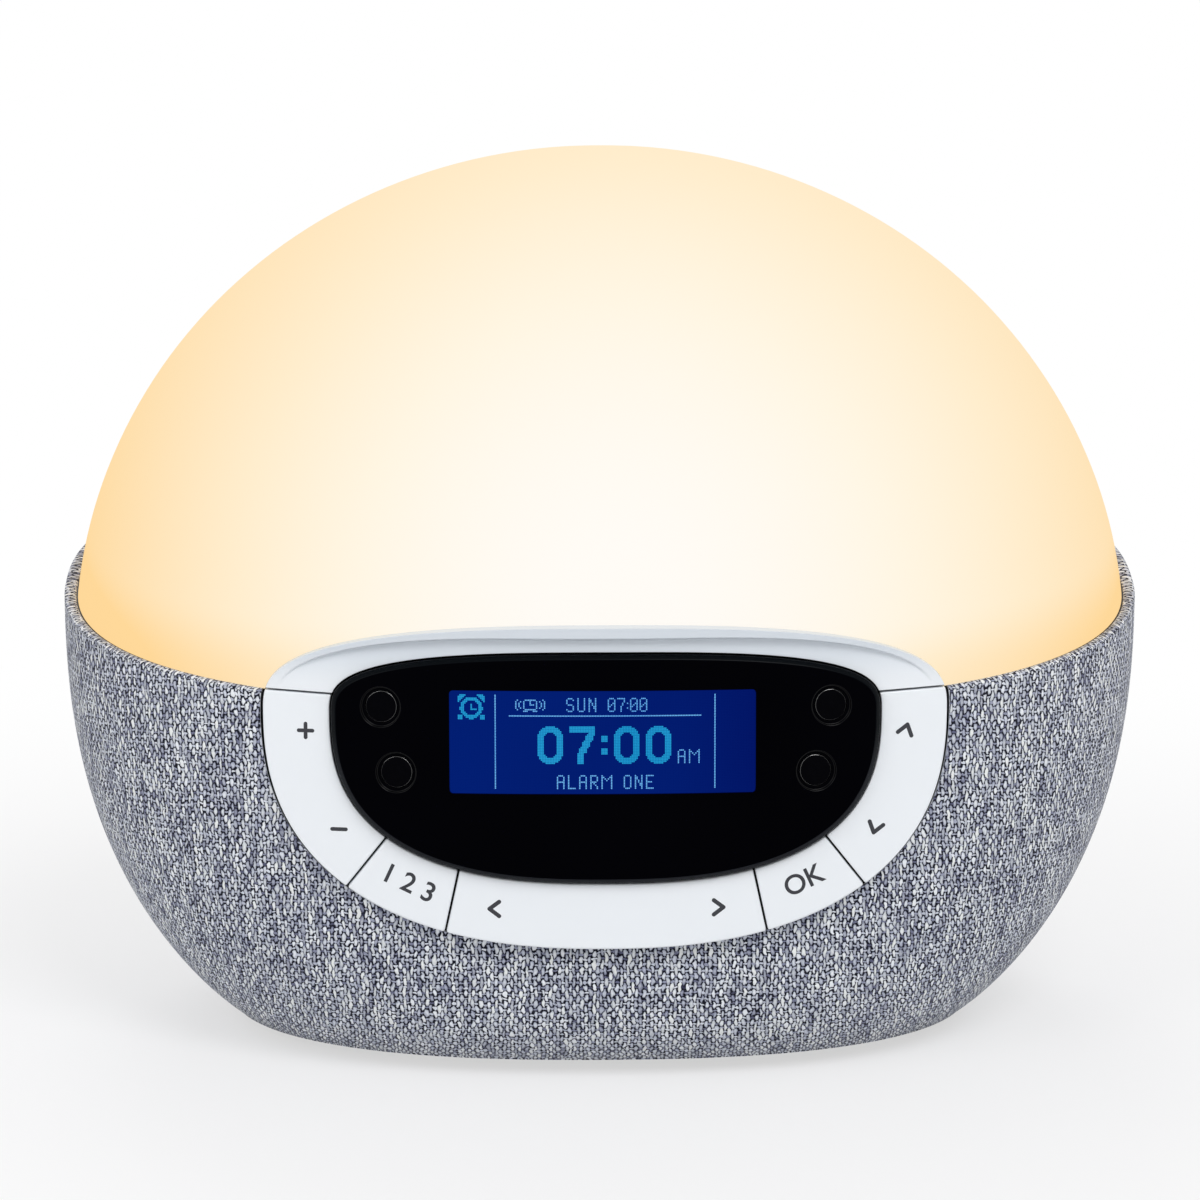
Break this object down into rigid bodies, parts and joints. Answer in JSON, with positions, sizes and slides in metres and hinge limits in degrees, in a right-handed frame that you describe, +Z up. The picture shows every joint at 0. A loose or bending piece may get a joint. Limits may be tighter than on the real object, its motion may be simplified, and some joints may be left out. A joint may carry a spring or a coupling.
{
  "type": "sunrise alarm clock",
  "caption": "Sunrise alarm clock: tall opal light dome on a fabric-wrapped bowl, with a ring of white keys round a gloss black window with a lit display and round buttons.",
  "frame": {"origin": "middle of the footprint of the bounding box, on the surface the feet stand on", "axes": "+Z up, the keys and display face -Y, +X to the right as seen from the front"},
  "size_m": [0.21, 0.1269, 0.1712],
  "materials": {
    "dome_plastic": "translucent opal, satin",
    "woven_fabric": "melange grey weave",
    "white_plastic": "matte",
    "white_key_plastic": "satin",
    "grey_plastic": "matte, fine texture",
    "foot_rubber": "matte",
    "black_gloss": "high gloss",
    "black_satin": "satin",
    "display_blue": "gloss, lit from behind",
    "cell_glass": "clear",
    "steel": "zinc plated",
    "board_green": "solder resist",
    "board_white": "solder resist",
    "switch_black": "moulded",
    "black_plastic": "moulded",
    "chip_yellow": "phosphor",
    "aluminium_plate": "milled",
    "cable_grey": "flat cable",
    "cable_black": "flexible lead",
    "cone_paper": "pressed paper",
    "magnet_ferrite": "ferrite with steel back",
    "contact_brass": "turned"
  },
  "bodies": {
    "case": {"dome_diffuser": "dome_plastic", "fabric_wrap": "woven_fabric", "base_bowl": "black_plastic", "base_plate": "grey_plastic", "feet": "foot_rubber", "rear_panel": "grey_plastic", "visor": "white_key_plastic", "display_window": "black_gloss", "display_lens": "display_blue", "lcd_glass": "cell_glass", "lcd_frame": "grey_plastic", "backlight_panel": "white_plastic", "panel_carrier": "black_plastic", "pivot_pins": "steel", "key_board": "board_green", "tact_switches": "switch_black", "panel_screws": "steel", "reflector_tray": "white_plastic", "light_board": "board_white", "light_chips": "chip_yellow", "heat_spreader": "aluminium_plate", "light_screws": "steel", "dome_screws": "steel", "base_screws": "steel", "main_board": "board_green", "board_screws": "steel", "board_components": "switch_black", "cell_holder": "switch_black", "coin_cell": "steel", "ribbon_cable": "cable_grey", "light_lead": "cable_black", "speaker_frame": "switch_black", "speaker_cone": "cone_paper", "speaker_magnet": "magnet_ferrite", "speaker_lead": "cable_black", "inlet_jack": "switch_black", "inlet_pin": "contact_brass"},
    "brightness_rocker": {"brightness_rocker": "white_key_plastic"},
    "navigation_rocker": {"navigation_rocker": "white_key_plastic"},
    "volume_rocker": {"volume_rocker": "white_key_plastic"},
    "preset_key": {"preset_key": "white_key_plastic"},
    "select_key": {"select_key": "white_key_plastic"},
    "button_upper_left": {"button_upper_left": "black_satin"},
    "button_lower_left": {"button_lower_left": "black_satin"},
    "button_upper_right": {"button_upper_right": "black_satin"},
    "button_lower_right": {"button_lower_right": "black_satin"}
  },
  "joints": [
    {"name": "brightness_rocker_tilt", "type": "hinge", "parent": "case", "child": "brightness_rocker", "pos_m": [-0.05384, -0.04966, 0.05947], "axis": [0.9259, -0.1951, 0.3234], "range_deg": [-2, 2], "stiffness_Nm_per_rad": 0.5},
    {"name": "navigation_rocker_tilt", "type": "hinge", "parent": "case", "child": "navigation_rocker", "pos_m": [0.05384, -0.04966, 0.05947], "axis": [0.9259, 0.1951, -0.3234], "range_deg": [-2, 2], "stiffness_Nm_per_rad": 0.5},
    {"name": "volume_rocker_tilt", "type": "hinge", "parent": "case", "child": "volume_rocker", "pos_m": [0, -0.05765, 0.03447], "axis": [0, 0.0698, 0.9976], "range_deg": [-1.2, 1.2], "stiffness_Nm_per_rad": 1},
    {"name": "preset_key_press", "type": "slide", "parent": "case", "child": "preset_key", "axis": [0, 0.9976, -0.0698], "range_m": [0, 0.0005], "stiffness_N_per_m": 2000},
    {"name": "select_key_press", "type": "slide", "parent": "case", "child": "select_key", "axis": [0, 0.9976, -0.0698], "range_m": [0, 0.0005], "stiffness_N_per_m": 2000},
    {"name": "button_upper_left_press", "type": "slide", "parent": "case", "child": "button_upper_left", "axis": [0.1725, 0.9826, -0.0687], "range_m": [0, 0.0004], "stiffness_N_per_m": 1500},
    {"name": "button_lower_left_press", "type": "slide", "parent": "case", "child": "button_lower_left", "axis": [0.1608, 0.9846, -0.0688], "range_m": [0, 0.0004], "stiffness_N_per_m": 1500},
    {"name": "button_upper_right_press", "type": "slide", "parent": "case", "child": "button_upper_right", "axis": [-0.1725, 0.9826, -0.0687], "range_m": [0, 0.0004], "stiffness_N_per_m": 1500},
    {"name": "button_lower_right_press", "type": "slide", "parent": "case", "child": "button_lower_right", "axis": [-0.1608, 0.9846, -0.0688], "range_m": [0, 0.0004], "stiffness_N_per_m": 1500}
  ]
}
